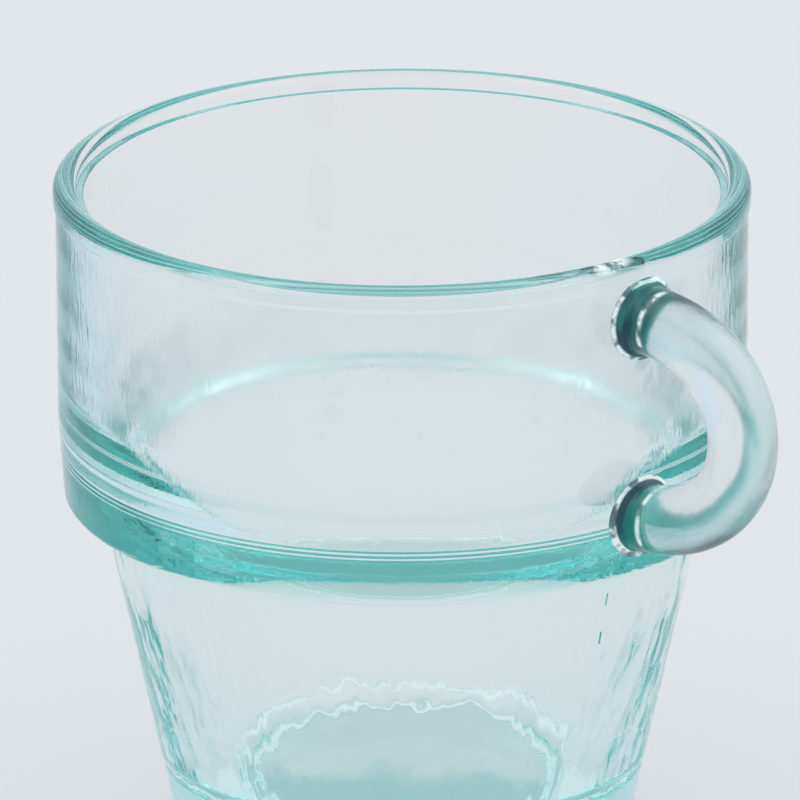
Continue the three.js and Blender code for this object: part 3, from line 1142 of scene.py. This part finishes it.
# %% Backlit acrylic
# Opal acrylic, matt on top: a pale even white with no shine, which the cup shades only a little.
ACRYLIC_COLOUR = "#E2E7EB"
ACRYLIC_ROUGHNESS = 0.9
BACKLIGHT = 0.7  # share of the table's brightness that comes from below and that the cup can't shade
acrylic = bpy.data.materials.new("backlit_acrylic_table")
acrylic.use_nodes = True
tree = acrylic.node_tree
tree.nodes.clear()
where = add_node(tree, "ShaderNodeTexCoord", {}, {}).outputs["Object"]
ray = add_node(tree, "ShaderNodeLightPath", {}, {}).outputs
lit_colour = shaded_colour(tree, where, field_colour(tree, where, ray))
through_glass = add_node(
    tree, "ShaderNodeMath", {"operation": "ADD"},
    {0: ray["Is Glossy Ray"], 1: ray["Is Transmission Ray"]},
)
seen = add_node(
    tree, "ShaderNodeMath", {"operation": "MAXIMUM"}, {0: ray["Is Camera Ray"], 1: through_glass},
)
share = add_node(tree, "ShaderNodeMath", {"operation": "MULTIPLY"}, {0: seen, 1: BACKLIGHT})
top = add_node(
    tree, "ShaderNodeBsdfPrincipled", {},
    {"Base Color": linear(ACRYLIC_COLOUR), "Roughness": ACRYLIC_ROUGHNESS, "Specular IOR Level": 0.0},
)
lit = add_node(tree, "ShaderNodeEmission", {}, {"Color": lit_colour, "Strength": 1.0})
blend = add_node(tree, "ShaderNodeMixShader", {}, {0: share, 1: top, 2: lit})
add_node(tree, "ShaderNodeOutputMaterial", {}, {"Surface": blend})
table.data.materials.append(acrylic)
print("Table material:", len(tree.nodes), "nodes")

# %% [markdown]
# ## The light
# Glass is lit by large pale surfaces, and small lamps only leave hard spots in it. So the cup stands in
# a light tent, drawn as a sky that is pale blue at the sides and whiter above, and two large softboxes
# add a little direction.

# %% Light tent
TENT_SIDE = "#DAE6EF"
TENT_TOP = "#E7E8EA"
TENT_FROM = 0.12  # sine of the height in the sky where the sides begin to brighten
TENT_TO = 0.25
world = bpy.data.worlds.new("light_tent")
world.use_nodes = True
scene.world = world
sky = world.node_tree
sky.nodes.clear()
direction = add_node(sky, "ShaderNodeTexCoord", {}, {}).outputs["Generated"]
height = add_node(sky, "ShaderNodeSeparateXYZ", {}, {"Vector": direction}).outputs["Z"]
tent = add_node(sky, "ShaderNodeValToRGB", {}, {"Fac": height})
side, above = tent.color_ramp.elements
side.position, side.color = TENT_FROM, linear(TENT_SIDE)
above.position, above.color = TENT_TO, linear(TENT_TOP)
cloth = add_node(sky, "ShaderNodeBackground", {}, {"Color": tent, "Strength": 1.0})
add_node(sky, "ShaderNodeOutputWorld", {}, {"Surface": cloth})
print("Tent:", TENT_SIDE, "to", TENT_TOP)

# %% Softboxes
BOX_SIDE = 1.0
BOX_DISTANCE = 1.2
BOX_RISE = math.radians(52)
BOX_SWING = math.radians(105)  # to either side of the camera
BOX_RADIANCE = 0.8
for name, swing in (("softbox_left", -BOX_SWING), ("softbox_right", BOX_SWING)):
    bearing = swing - math.pi / 2 + CAMERA_TURN
    level = Vector((math.cos(bearing), math.sin(bearing), 0)) * math.cos(BOX_RISE)
    place = level + Vector((0, 0, math.sin(BOX_RISE)))
    lamp = bpy.data.lights.new(name, "AREA")
    lamp.size = BOX_SIDE
    lamp.energy = BOX_RADIANCE * math.pi * BOX_SIDE**2
    box = bpy.data.objects.new(name, lamp)
    facing = place.to_track_quat("Z", "Y").to_matrix().to_4x4()
    box.matrix_world = Matrix.Translation(place * BOX_DISTANCE) @ facing
    scene.collection.objects.link(box)
    print(name, round(lamp.energy, 2), "W")

# %% Light paths
LIGHT_BOUNCES = 96  # light runs round inside the wall many times before it comes out teal
scene.view_settings.view_transform = "Standard"
scene.cycles.max_bounces = LIGHT_BOUNCES
scene.cycles.transmission_bounces = LIGHT_BOUNCES
scene.cycles.glossy_bounces = LIGHT_BOUNCES
print("Bounces:", LIGHT_BOUNCES)

# %% [markdown]
# ## Hand the pieces to the frame
# Both pieces ride on the cup's one body and stand for their CAD solids.

# %% Ride and replace
for piece, node, slot in ((body, "cup_body", "body_glass"), (handle, "handle", "handle_glass")):
    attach(piece, "root")
    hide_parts(node)
